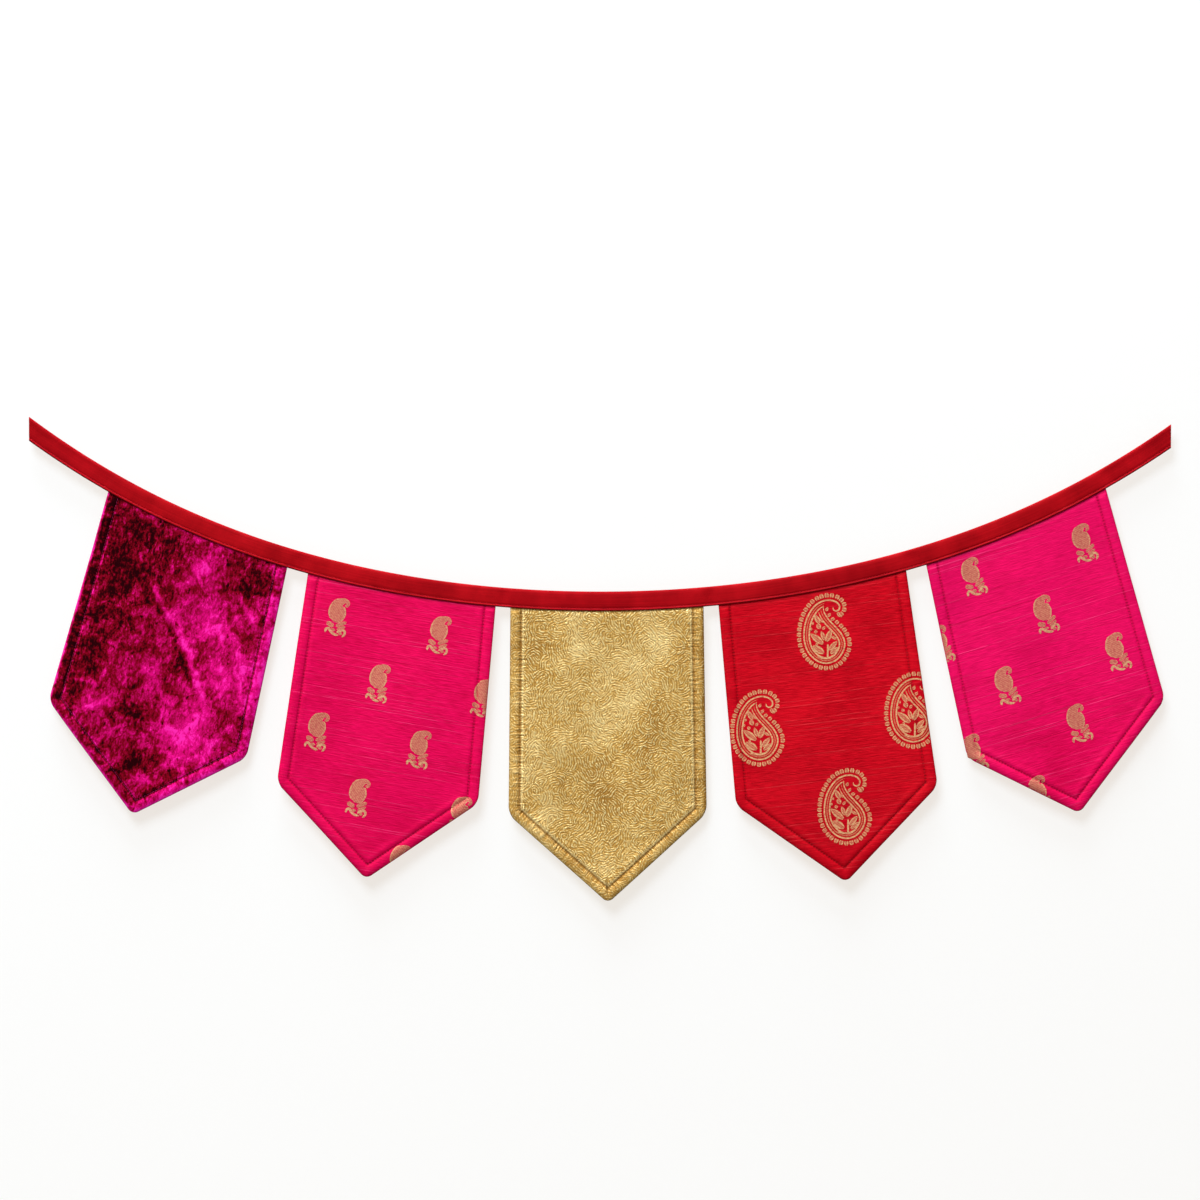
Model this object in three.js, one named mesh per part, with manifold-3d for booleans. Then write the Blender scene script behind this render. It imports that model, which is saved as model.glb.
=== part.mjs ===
// A hanging toran: a folded bias-tape band in a shallow swag, with five turned and topstitched
// pennant flags sewn into its open lower edge. Millimetres, +Z up, fronts face -Y.
import * as THREE from 'three';
import { mergeVertices } from 'three/addons/utils/BufferGeometryUtils.js';
import Module from 'manifold-3d';

const wasm = await Module();
wasm.setup();

// The swag is drawn about the middle of its span, with its lowest point near zero height.
const swag = {
  reach: 451, // from the middle to either end
  dip: 135.1, // how far the middle hangs below the ends
  stiffness: 0.216, // share of the dip that rises with the fourth power, towards the ends
  skew: 3, // the right end lies this much lower than an even swag, the left end higher
  steps: 48,
};

// The tape is folded over the tops of the flags, fold upwards and edges down.
const tape = {
  width: 15.4,
  thick: 3.8,
  fold: 2.6, // height of the rounded fold
  stitchUp: 1.6, // topstitching above the lower edge
  groove: 0.35,
  grooveSpread: 0.7,
  lip: 0.45, // bevel of the two lower edges
  over: 1, // the tape is made this much too long at each end, then cut off plumb
};

// Room inside the tape for the top of each flag.
const pocket = { thick: 1.8, depth: 9, spare: 2, mouth: 1, steps: 14 };

const cloth = {
  tongue: 7.8, // part of a flag inside the tape
  tongueThick: 1.2,
  swellFrom: 0.5, // below the tape a flag swells from the tongue's thickness to its own
  swellTo: 4,
  edgeThick: 1, // at the turned edge
  crestThick: 3, // over the seam allowance
  seamThick: 1.5, // pulled in by the topstitching
  fieldThick: 2.3,
  margin: 8.7, // topstitching in from the edge
  seamSpread: 1.5,
  round: 0.9, // the turned edge reaches nearly full thickness here
  crestAt: 3.6,
  corner: 5, // rounding of the shoulders and the tip
  free: 60, // below the tape the flag hangs fully loose from this depth on
  drop: 235, // from the tape's lower edge to the tip, about the same on every flag
};

// Leans are in degrees from plumb, plus to the right. From and to are the side edges at the
// tape, measured along the span. Curl bends both sides backwards, kick swings the tip forwards.
const flags = [
  { name: 'flag_velvet', colour: 0xa80d50, roughness: 0.85, metalness: 0,
    from: -380.9, to: -242.7, leftLean: -16.0, leftLength: 171.4, rightLean: -12.1,
    rightLength: 153.8, tipLean: -9.9, tipDrop: 68.5, curl: 2.4, kick: 3.0, ripple: 1.3, phase: 0.2 },
  { name: 'flag_pink_left', colour: 0xe40a53, roughness: 0.5, metalness: 0,
    from: -226.7, to: -81.1, leftLean: -8.4, leftLength: 166.8, rightLean: -5.1,
    rightLength: 156.3, tipLean: -7.7, tipDrop: 68.5, curl: -1.6, kick: 1.8, ripple: 0.9, phase: 0.65 },
  { name: 'flag_gold', colour: 0xc9a661, roughness: 0.4, metalness: 0.6,
    from: -69.7, to: 80.5, leftLean: -0.5, leftLength: 163.5, rightLean: 0.9,
    rightLength: 163.3, tipLean: 0.2, tipDrop: 70.3, curl: 2.0, kick: 2.4, ripple: 1.0, phase: 0.4 },
  { name: 'flag_red', colour: 0xc80e1f, roughness: 0.5, metalness: 0,
    from: 92.1, to: 237.8, leftLean: 5.0, leftLength: 159.0, rightLean: 8.3,
    rightLength: 171.7, tipLean: 6.0, tipDrop: 68.6, curl: 1.2, kick: 3.2, ripple: 0.8, phase: 0.9 },
  { name: 'flag_pink_right', colour: 0xe5125c, roughness: 0.5, metalness: 0,
    from: 253.2, to: 392.1, leftLean: 12.1, leftLength: 156.1, rightLean: 15.7,
    rightLength: 172.9, tipLean: 8.8, tipDrop: 67.6, curl: 2.2, kick: 1.6, ripple: 1.2, phase: 0.1 },
];

const radians = THREE.MathUtils.degToRad;
const between = THREE.MathUtils.lerp;
const smooth = THREE.MathUtils.smoothstep;

function swagHeight(x) {
  const t = x / swag.reach;
  const rise = (1 - swag.stiffness) * t ** 2 + swag.stiffness * t ** 4;
  return swag.dip * rise - swag.skew * t ** 3;
}

function swagSlope(x) {
  const t = x / swag.reach;
  const rise = 2 * (1 - swag.stiffness) * t + 4 * swag.stiffness * t ** 3;
  return (swag.dip * rise - 3 * swag.skew * t ** 2) / swag.reach;
}

// A point down from the tape's top edge, square to it, as x across and y up.
function onTape(x, down) {
  const slope = swagSlope(x);
  const length = Math.hypot(1, slope);
  return new THREE.Vector2(x + (slope / length) * down, swagHeight(x) - down / length);
}

class SwagCurve extends THREE.Curve {
  constructor(from, to) {
    super();
    this.from = from;
    this.to = to;
  }

  getPoint(t, target = new THREE.Vector3()) {
    const x = between(this.from, this.to, t);
    return target.set(x, 0, swagHeight(x));
  }
}

// Along the swag a section's x becomes the front and its y the distance down from the top edge.
function sweep(section, from, to, steps) {
  return new THREE.ExtrudeGeometry(section, {
    extrudePath: new SwagCurve(from, to),
    steps,
    curveSegments: 3,
  });
}

function tapeSection() {
  const half = tape.thick / 2;
  const stitch = tape.width - tape.stitchUp;
  const section = new THREE.Shape();
  section.moveTo(-half, tape.fold);
  section.quadraticCurveTo(-half, 0, 0, 0);
  section.quadraticCurveTo(half, 0, half, tape.fold);
  section.lineTo(half, stitch - tape.grooveSpread);
  section.lineTo(half - tape.groove, stitch);
  section.lineTo(half, stitch + tape.grooveSpread);
  section.lineTo(half - tape.lip, tape.width);
  section.lineTo(-half + tape.lip, tape.width);
  section.lineTo(-half, stitch + tape.grooveSpread);
  section.lineTo(-half + tape.groove, stitch);
  section.lineTo(-half, stitch - tape.grooveSpread);
  section.closePath();
  return section;
}

function pocketSection() {
  const half = pocket.thick / 2;
  const section = new THREE.Shape();
  section.moveTo(-half, tape.width - pocket.depth);
  section.lineTo(half, tape.width - pocket.depth);
  section.lineTo(half, tape.width + pocket.mouth);
  section.lineTo(-half, tape.width + pocket.mouth);
  section.closePath();
  return section;
}

function solidFrom(geometry) {
  geometry.deleteAttribute('normal');
  geometry.deleteAttribute('uv');
  const merged = mergeVertices(geometry);
  return new wasm.Manifold(new wasm.Mesh({
    numProp: 3,
    vertProperties: new Float32Array(merged.attributes.position.array),
    triVerts: new Uint32Array(merged.index.array),
  }));
}

function geometryFrom(solid) {
  const mesh = solid.getMesh();
  const geometry = new THREE.BufferGeometry();
  geometry.setAttribute('position', new THREE.BufferAttribute(mesh.vertProperties, 3));
  geometry.setIndex(new THREE.BufferAttribute(mesh.triVerts, 1));
  geometry.computeVertexNormals();
  return geometry;
}

function bandGeometry() {
  const length = swag.reach + tape.over;
  const span = new THREE.BoxGeometry(2 * swag.reach, 2 * tape.thick, 4 * swag.dip);
  let band = solidFrom(sweep(tapeSection(), -length, length, swag.steps)).intersect(solidFrom(span));
  for (const flag of flags) {
    const from = flag.from - pocket.spare;
    const to = flag.to + pocket.spare;
    band = band.subtract(solidFrom(sweep(pocketSection(), from, to, pocket.steps)));
  }
  return geometryFrom(band);
}

// Half thickness of a flag, going in from its turned edge.
const seam = [
  { inset: 0, half: cloth.edgeThick / 2 },
  { inset: cloth.round, half: between(cloth.edgeThick, cloth.crestThick, 0.8) / 2 },
  { inset: cloth.crestAt, half: cloth.crestThick / 2 },
  { inset: cloth.margin - cloth.seamSpread, half: between(cloth.seamThick, cloth.crestThick, 0.7) / 2 },
  { inset: cloth.margin, half: cloth.seamThick / 2 },
  { inset: cloth.margin + cloth.seamSpread, half: cloth.fieldThick / 2 },
];

function seamHalf(inset) {
  for (let step = 1; step < seam.length; step += 1) {
    const low = seam[step - 1];
    const high = seam[step];
    if (inset <= high.inset) {
      return between(low.half, high.half, (inset - low.inset) / (high.inset - low.inset));
    }
  }
  return cloth.fieldThick / 2;
}

function leanTo(point, lean, length) {
  const angle = radians(lean);
  return new THREE.Vector2(point.x + Math.sin(angle) * length, point.y - Math.cos(angle) * length);
}

// Distance of a point from the line through two others, positive on its left.
function offLine(point, a, b) {
  const along = b.clone().sub(a).normalize();
  return along.cross(point.clone().sub(a));
}

function cornersOf(flag) {
  const topLeft = onTape(flag.from, tape.width);
  const topRight = onTape(flag.to, tape.width);
  const left = leanTo(topLeft, flag.leftLean, flag.leftLength);
  const right = leanTo(topRight, flag.rightLean, flag.rightLength);
  const middle = left.clone().lerp(right, 0.5);
  return { topLeft, topRight, left, right, tip: leanTo(middle, flag.tipLean, flag.tipDrop) };
}

// A sharp corner of two edges is drawn in to a round one, by the map from a square to a disc.
function roundCorner(point, corner, along, back) {
  const first = -offLine(point, corner, along);
  const second = offLine(point, corner, back);
  if (first >= cloth.corner || second >= cloth.corner) {
    return point;
  }
  const u = 1 - Math.max(first, 0) / cloth.corner;
  const v = 1 - Math.max(second, 0) / cloth.corner;
  const pulledU = u * Math.sqrt(1 - v ** 2 / 2);
  const pulledV = v * Math.sqrt(1 - u ** 2 / 2);
  const a = along.clone().sub(corner).normalize();
  const b = back.clone().sub(corner).normalize();
  const spread = Math.abs(a.cross(b));
  const reachA = (cloth.corner * (v - pulledV)) / spread;
  const reachB = (cloth.corner * (u - pulledU)) / spread;
  return point.clone().addScaledVector(a, reachA).addScaledVector(b, reachB);
}

const fieldColumns = 5; // between the seam and the middle of a flag
const fieldRows = 9; // between the tape and the lower seam
const columns = 2 * (seam.length - 1 + fieldColumns);
const rows = fieldRows + seam.length + 2;

// Where two lines cross, each given by a point and a direction.
function crossing(pointA, alongA, pointB, alongB) {
  const gap = pointB.clone().sub(pointA);
  return pointA.clone().addScaledVector(alongA, gap.cross(alongB) / alongA.cross(alongB));
}

// A column of the flag runs from the tape to one of the two lower edges. Those of the seam run
// along the side edge, the others turn evenly until the middle one meets the tip.
function columnOf(flag, corners, column) {
  const onLeft = column * 2 <= columns;
  const near = Math.min(column, columns - column);
  const width = corners.topLeft.distanceTo(corners.topRight);
  const side = onLeft ? corners.topLeft : corners.topRight;
  const shoulder = onLeft ? corners.left : corners.right;
  const hem = corners.tip.clone().sub(shoulder).normalize();
  const seamInset = seam[Math.min(near, seam.length - 1)].inset;
  const share = Math.max(near - seam.length + 1, 0) / fieldColumns;
  const inset = between(seamInset, width / 2, share);
  const acrossOf = (distance) => (onLeft ? distance / width : 1 - distance / width);
  const topOf = (across) => onTape(between(flag.from, flag.to, across), tape.width);
  const seamFoot = crossing(topOf(acrossOf(seamInset)), shoulder.clone().sub(side), shoulder, hem);
  const across = acrossOf(inset);
  const top = topOf(across);
  const foot = seamFoot.lerp(corners.tip, share);
  const along = foot.clone().sub(top).normalize();
  return { top, along, across, inset, length: top.distanceTo(foot), slant: Math.abs(along.cross(hem)) };
}

// Depth of a row below the tape's lower edge.
function rowDepth(row, column) {
  const first = [-cloth.tongue, cloth.swellFrom, cloth.swellTo];
  if (row < first.length) {
    return first[row];
  }
  const fromHem = rows - row;
  if (fromHem < seam.length) {
    return column.length - seam[fromHem].inset / column.slant;
  }
  const last = column.length - seam[seam.length - 1].inset / column.slant;
  return between(cloth.swellTo, last, (row - first.length + 1) / fieldRows);
}

function flagGeometry(flag) {
  const corners = cornersOf(flag);
  const { topLeft, topRight, left, right, tip } = corners;
  const panel = new THREE.BoxGeometry(1, 1, 1, columns, rows, 1);
  const spots = panel.attributes.position;
  for (let spot = 0; spot < spots.count; spot += 1) {
    const column = columnOf(flag, corners, Math.round((spots.getX(spot) + 0.5) * columns));
    const depth = rowDepth(Math.round((0.5 - spots.getY(spot)) * rows), column);
    let place = column.top.clone().addScaledVector(column.along, depth);
    place = roundCorner(place, left, topLeft, tip);
    place = roundCorner(place, right, tip, topRight);
    place = roundCorner(place, tip, left, right);
    const toHem = (column.length - depth) * column.slant;
    const swell = smooth(depth, cloth.swellFrom, cloth.swellTo);
    const most = between(cloth.tongueThick, cloth.crestThick, swell) / 2;
    const half = Math.min(seamHalf(Math.min(column.inset, toHem)), most);
    const middle = sway(flag, column.across, depth);
    const facing = spots.getZ(spot) > 0 ? -1 : 1;
    spots.setXYZ(spot, place.x, middle + facing * half, place.y);
  }
  return panel;
}

// How far the middle of the cloth stands behind the tape's own plane.
function sway(flag, across, depth) {
  const loose = smooth(depth, 0, cloth.free);
  const down = Math.max(depth, 0) / cloth.drop;
  const curl = flag.curl * (2 * across - 1) ** 2;
  const wave = flag.ripple * Math.sin(2 * Math.PI * (1.5 * across + 0.4 * down + flag.phase));
  return loose * (curl + wave) - flag.kick * down ** 2;
}

function meshOf(name, geometry, colour, roughness, metalness) {
  const material = new THREE.MeshStandardMaterial({ color: colour, roughness, metalness });
  const mesh = new THREE.Mesh(geometry, material);
  mesh.name = name;
  return mesh;
}

// The origin is the top corner of the tape's left end, where it is pinned up.
const toran = new THREE.Group();
toran.position.set(swag.reach, 0, -swagHeight(-swag.reach));
toran.add(meshOf('band', bandGeometry(), 0xb8081a, 0.75, 0));
for (const flag of flags) {
  toran.add(meshOf(flag.name, flagGeometry(flag), flag.colour, flag.roughness, flag.metalness));
}

export default toran;
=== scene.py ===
import math

import bmesh
import bpy
from mathutils import Matrix, Vector, noise


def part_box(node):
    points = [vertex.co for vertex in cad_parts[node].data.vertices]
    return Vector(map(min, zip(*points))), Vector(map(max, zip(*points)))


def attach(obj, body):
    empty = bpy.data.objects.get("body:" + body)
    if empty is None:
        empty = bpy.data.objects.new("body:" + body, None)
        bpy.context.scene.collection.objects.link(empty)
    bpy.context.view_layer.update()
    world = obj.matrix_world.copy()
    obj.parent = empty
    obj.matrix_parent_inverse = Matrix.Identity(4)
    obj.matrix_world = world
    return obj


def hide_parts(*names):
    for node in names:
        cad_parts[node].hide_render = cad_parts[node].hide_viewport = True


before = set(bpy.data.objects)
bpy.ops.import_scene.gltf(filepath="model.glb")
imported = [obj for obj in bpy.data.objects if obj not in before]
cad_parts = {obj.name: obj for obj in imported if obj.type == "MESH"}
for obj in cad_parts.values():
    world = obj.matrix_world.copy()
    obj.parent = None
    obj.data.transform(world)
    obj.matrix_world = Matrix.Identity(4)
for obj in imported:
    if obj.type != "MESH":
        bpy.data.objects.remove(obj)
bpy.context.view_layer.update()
mm = 0.001
weld = 0.01 * mm
print("frame loaded:", len(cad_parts), "nodes")

# The swag runs from the origin, the top corner of the tape's left end, along +X.
bandLow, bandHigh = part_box("band")
tapeWidth = 15.4 * mm
margin = 8.7 * mm  # from the edge of a flag to its topstitching
stitchPitch = 2.4 * mm
swag = {
    "reach": (bandHigh.x - bandLow.x) / 2,
    "dip": 135.1 * mm,
    "stiffness": 0.216,
    "skew": 3 * mm,
}


def swagHeight(x):
    t = x / swag["reach"] - 1
    rise = (1 - swag["stiffness"]) * t ** 2 + swag["stiffness"] * t ** 4
    return swag["dip"] * (rise - 1) - swag["skew"] * (t ** 3 + 1)


def swagSlope(x):
    t = x / swag["reach"] - 1
    rise = 2 * (1 - swag["stiffness"]) * t + 4 * swag["stiffness"] * t ** 3
    return (swag["dip"] * rise - 3 * swag["skew"] * t ** 2) / swag["reach"]


def onTape(x, down):
    slope = swagSlope(x)
    length = math.hypot(1, slope)
    return Vector((x + slope / length * down, swagHeight(x) - down / length))


def blendOf(a, b, share):
    return a + (b - a) * share


def smooth(low, high, value):
    share = min(max((value - low) / (high - low), 0), 1)
    return share * share * (3 - 2 * share)


def hump(value, width):
    return math.exp(-(value / width) ** 2)


# Camera: a long lens square to the wall, its frame as wide as the photograph.
cameraSizes = {
    "distance": 3.6,
    "frameWidth": 948 * mm,
    "middle": Vector((swag["reach"], 0, -144.8 * mm)),
    "sensor": 36,
}


def makeCamera():
    data = bpy.data.cameras.new("camera")
    data.sensor_width = cameraSizes["sensor"]
    data.lens = cameraSizes["sensor"] * cameraSizes["distance"] / cameraSizes["frameWidth"]
    data.clip_end = 50
    camera = bpy.data.objects.new("camera", data)
    camera.location = cameraSizes["middle"] - Vector((0, cameraSizes["distance"], 0))
    camera.rotation_euler = (math.pi / 2, 0, 0)
    bpy.context.scene.collection.objects.link(camera)
    bpy.context.scene.camera = camera


makeCamera()

# Small helpers for shader nodes.


def newMaterial(name):
    material = bpy.data.materials.new(name)
    material.use_nodes = True
    tree = material.node_tree
    tree.nodes.clear()
    shader = addNode(tree, "ShaderNodeBsdfPrincipled")
    output = addNode(tree, "ShaderNodeOutputMaterial")
    tree.links.new(shader.outputs["BSDF"], output.inputs["Surface"])
    return material, tree, shader


def addNode(tree, kind, **inputs):
    node = tree.nodes.new(kind)
    for name, value in inputs.items():
        feed(tree, node.inputs[name.replace("_", " ")], value)
    return node


def feed(tree, socket, value):
    if isinstance(value, bpy.types.NodeSocket):
        tree.links.new(value, socket)
    else:
        socket.default_value = value


def calc(tree, operation, *values):
    node = tree.nodes.new("ShaderNodeMath")
    node.operation = operation
    for socket, value in zip(node.inputs, values):
        feed(tree, socket, value)
    return node.outputs[0]


def times(tree, first, second):
    return calc(tree, "MULTIPLY", first, second)


def centred(tree, value):
    return calc(tree, "SUBTRACT", value, 0.5)


# Adds layers to a height or a tone, each by its own amount.
def piled(tree, base, *layers):
    for part, amount in layers:
        base = calc(tree, "MULTIPLY_ADD", part, amount, base)
    return base


def mapRange(tree, value, fromLow, fromHigh, toLow=0.0, toHigh=1.0):
    node = addNode(tree, "ShaderNodeMapRange")
    for socket, number in zip(node.inputs, (value, fromLow, fromHigh, toLow, toHigh)):
        feed(tree, socket, number)
    return node.outputs[0]


def mixColour(tree, share, first, second):
    node = tree.nodes.new("ShaderNodeMix")
    node.data_type = "RGBA"
    for number, value in ((0, share), (6, first), (7, second)):
        feed(tree, node.inputs[number], value)
    return node.outputs[2]


# Tints a colour where a mask lies, by at most the strength.
def tinted(tree, colour, mask, strength, tint):
    return mixColour(tree, times(tree, mask, strength), colour, tint)


def ramp(tree, value, stops):
    node = addNode(tree, "ShaderNodeValToRGB", Fac=value)
    elements = node.color_ramp.elements
    while len(elements) < len(stops):
        elements.new(0.5)
    for element, (place, colour) in zip(elements, stops):
        element.position = place
        element.color = colour
    return node.outputs["Color"]


def stretched(tree, vector, across, along, depth=1.0):
    node = addNode(tree, "ShaderNodeMapping", Vector=vector)
    node.inputs["Scale"].default_value = (across, along, depth)
    return node.outputs["Vector"]


def noiseAt(tree, vector, scale=1.0, detail=2.0, roughness=0.5, distortion=0.0):
    node = addNode(tree, "ShaderNodeTexNoise", Vector=vector, Scale=scale, Detail=detail,
                   Roughness=roughness, Distortion=distortion)
    return node.outputs["Fac"]


def bumped(tree, height, strength, distance):
    node = addNode(tree, "ShaderNodeBump", Height=height, Strength=strength, Distance=distance)
    return node.outputs["Normal"]


def attribute(tree, name):
    node = tree.nodes.new("ShaderNodeAttribute")
    node.attribute_name = name
    return node.outputs["Fac"]


def uvOf(tree):
    return tree.nodes.new("ShaderNodeUVMap").outputs["UV"]


# A group's inputs are the cloth's place, where vectors says so, and named values.
def newGroup(name, vectors, values, outputs):
    tree = bpy.data.node_groups.new(name, "ShaderNodeTree")
    for label in vectors:
        tree.interface.new_socket(label, in_out="INPUT", socket_type="NodeSocketVector")
    for label, value in values.items():
        socket = tree.interface.new_socket(label, in_out="INPUT", socket_type="NodeSocketFloat")
        socket.default_value = value
    for label in outputs:
        tree.interface.new_socket(label, in_out="OUTPUT", socket_type="NodeSocketFloat")
    return tree, tree.nodes.new("NodeGroupInput").outputs, tree.nodes.new("NodeGroupOutput").inputs


def useGroup(tree, group, **inputs):
    node = tree.nodes.new("ShaderNodeGroup")
    node.node_tree = group
    for name, value in inputs.items():
        feed(tree, node.inputs[name], value)
    return node.outputs


def rgb(red, green, blue):
    channels = []
    for value in (red, green, blue):
        share = value / 255
        channels.append(share / 12.92 if share < 0.04045 else ((share + 0.055) / 1.055) ** 2.4)
    return (*channels, 1)


# A sine or cosine that repeats once in each pitch.
def waveOf(tree, operation, distance, pitch):
    return calc(tree, operation, calc(tree, "DIVIDE", times(tree, distance, 2 * math.pi), pitch))


# Threads crossing over and under, for every cloth: pitches in metres.
def threadGroup():
    values = {"Across pitch": 0.5 * mm, "Down pitch": 0.5 * mm, "Rib": 0.5}
    tree, into, out = newGroup("threads", ["Cloth"], values, ["Height"])
    parts = addNode(tree, "ShaderNodeSeparateXYZ", Vector=into["Cloth"])
    turns = []
    for axis, pitch in (("X", "Across pitch"), ("Y", "Down pitch")):
        turns.append(waveOf(tree, "SINE", parts.outputs[axis], into[pitch]))
    plain = times(tree, times(tree, *turns), calc(tree, "SUBTRACT", 1.0, into["Rib"]))
    mixed = calc(tree, "ADD", times(tree, turns[1], into["Rib"]), plain)
    feed(tree, out["Height"], calc(tree, "MULTIPLY_ADD", mixed, 0.5, 0.5))
    return tree


# Uneven yarns along the weft: fine ribs, sparse long thin lines that are lighter, and sparse sunk lines whose
# darker colour is painted shade.
def slubGroup():
    values = {"Rib pitch": 1.0 * mm, "Line pitch": 0.8 * mm}
    tree, into, out = newGroup("slubs", ["Cloth"], values, ["Ribs", "Slubs", "Troughs"])
    parts = addNode(tree, "ShaderNodeSeparateXYZ", Vector=into["Cloth"])
    across = parts.outputs["X"]
    wander = noiseAt(tree, stretched(tree, into["Cloth"], 18, 60), 1, 1)
    down = calc(tree, "MULTIPLY_ADD", wander, 1.2 * mm, parts.outputs["Y"])

    def yarns(length, pitch, slice, low, high, detail=0.0):
        place = addNode(tree, "ShaderNodeCombineXYZ", X=calc(tree, "DIVIDE", across, length),
                        Y=calc(tree, "DIVIDE", down, pitch), Z=slice)
        return mapRange(tree, noiseAt(tree, place.outputs[0], 1, detail), low, high)

    breaks = yarns(12 * mm, into["Line pitch"], 2.0, 0.38, 0.6)
    lines = yarns(150 * mm, into["Line pitch"], 5.7, 0.69, 0.76)
    feed(tree, out["Ribs"], yarns(9 * mm, into["Rib pitch"], 0.0, 0.3, 0.7, 2.0))
    feed(tree, out["Slubs"], times(tree, lines, mapRange(tree, breaks, 0, 1, 0.25, 1)))
    feed(tree, out["Troughs"], yarns(150 * mm, into["Line pitch"], 5.2, 0.67, 0.76))
    return tree


# What topstitching does to cloth: a line along it, darkened as painted shade in its groove, and where set
# further in, lightened as a painted highlight; its stitch holes, darkened as painted shade; and small puckers
# across it, used as bumps and on the velvet and the gold also as painted light and shade.
def seamGroup():
    values = {"Along": 0.0, "Inset": 0.0, "Margin": margin, "Stitch": stitchPitch, "Width": 1.3 * mm}
    tree, into, out = newGroup("seam", [], values, ["Line", "Holes", "Puckers"])
    off = calc(tree, "ABSOLUTE", calc(tree, "SUBTRACT", into["Inset"], into["Margin"]))
    line = mapRange(tree, off, times(tree, into["Width"], 0.25), into["Width"], 1, 0)
    beat = mapRange(tree, waveOf(tree, "COSINE", into["Along"], into["Stitch"]), 0.1, 0.9)
    spread = mapRange(tree, off, 0.4 * mm, 8 * mm, 1, 0)
    wander = addNode(tree, "ShaderNodeCombineXYZ", X=calc(tree, "DIVIDE", into["Along"], 2.1 * mm),
                     Y=calc(tree, "DIVIDE", into["Inset"], 14 * mm))
    folds = centred(tree, noiseAt(tree, wander.outputs[0], 1, 1))
    feed(tree, out["Line"], line)
    feed(tree, out["Holes"], times(tree, line, beat))
    feed(tree, out["Puckers"], times(tree, folds, spread))
    return tree


threads = threadGroup()
slubs = slubGroup()
seamMarks = seamGroup()


def setShader(tree, shader, **values):
    for name, value in values.items():
        feed(tree, shader.inputs[name.replace("_", " ")], value)


def seamOutputs(tree, **changed):
    along, inset = (attribute(tree, name) for name in ("seamAlong", "seamInset"))
    return useGroup(tree, seamMarks, Along=along, Inset=inset, **changed)


def weaveOf(tree, place, across, down, rib):
    values = {"Cloth": place, "Across pitch": across * mm, "Down pitch": down * mm, "Rib": rib}
    return useGroup(tree, threads, **values)["Height"]


def silkMaterial(name, colours):
    material, tree, shader = newMaterial(name)
    cloth = uvOf(tree)
    yarn = useGroup(tree, slubs, Cloth=cloth)
    seam = seamOutputs(tree)
    shade = attribute(tree, "shade")
    clouds = noiseAt(tree, stretched(tree, cloth, 20, 34), 1, 2)
    colour = colours["low"]
    # The shade attribute darkens towards the tip as painted shade and lifts the right pink flag as painted
    # light; the seam and hole colours are painted shade in the seam's groove and stitch holes, and the trough
    # colour is painted shade in sunk lines.
    for mask, tint in (
            (yarn["Ribs"], "base"),
            (mapRange(tree, clouds, 0.5, 0.7, 0, 0.4), "base"),
            (mapRange(tree, clouds, 0.48, 0.3, 0, 0.6), "low"),
            (mapRange(tree, shade, 0.5, 0.1, 0, 0.5), "low"),
            (mapRange(tree, shade, 0.5, 1), "high"),
            (times(tree, yarn["Slubs"], 0.45), "slub"),
            (times(tree, yarn["Troughs"], 0.5), "troughShade"),
            (times(tree, seam["Line"], 0.3), "seam"),
            (times(tree, seam["Holes"], 0.55), "holeShade")):
        colour = mixColour(tree, mask, colour, colours[tint])
    weave = times(tree, weaveOf(tree, cloth, 0.55, 0.62, 0.7), 0.2)
    height = piled(tree, weave, (yarn["Slubs"], 0.5), (yarn["Ribs"], 0.9), (yarn["Troughs"], -0.4),
                   (seam["Puckers"], 1.8), (seam["Holes"], -1.2))
    setShader(tree, shader, Base_Color=colour, Normal=bumped(tree, height, 0.6, 0.22 * mm),
              Roughness=0.5, Specular_IOR_Level=0.04)
    return material


pinkColours = {
    "base": rgb(238, 8, 92),
    "low": rgb(201, 1, 66),
    "high": rgb(252, 24, 124),
    "slub": rgb(244, 72, 138),
    "troughShade": rgb(178, 0, 52),
    "seam": rgb(170, 0, 48),
    "holeShade": rgb(124, 0, 34),
}
redColours = {
    "base": rgb(218, 10, 33),
    "low": rgb(170, 1, 18),
    "high": rgb(232, 26, 52),
    "slub": rgb(232, 66, 74),
    "troughShade": rgb(150, 0, 12),
    "seam": rgb(150, 0, 14),
    "holeShade": rgb(104, 0, 10),
}


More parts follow.
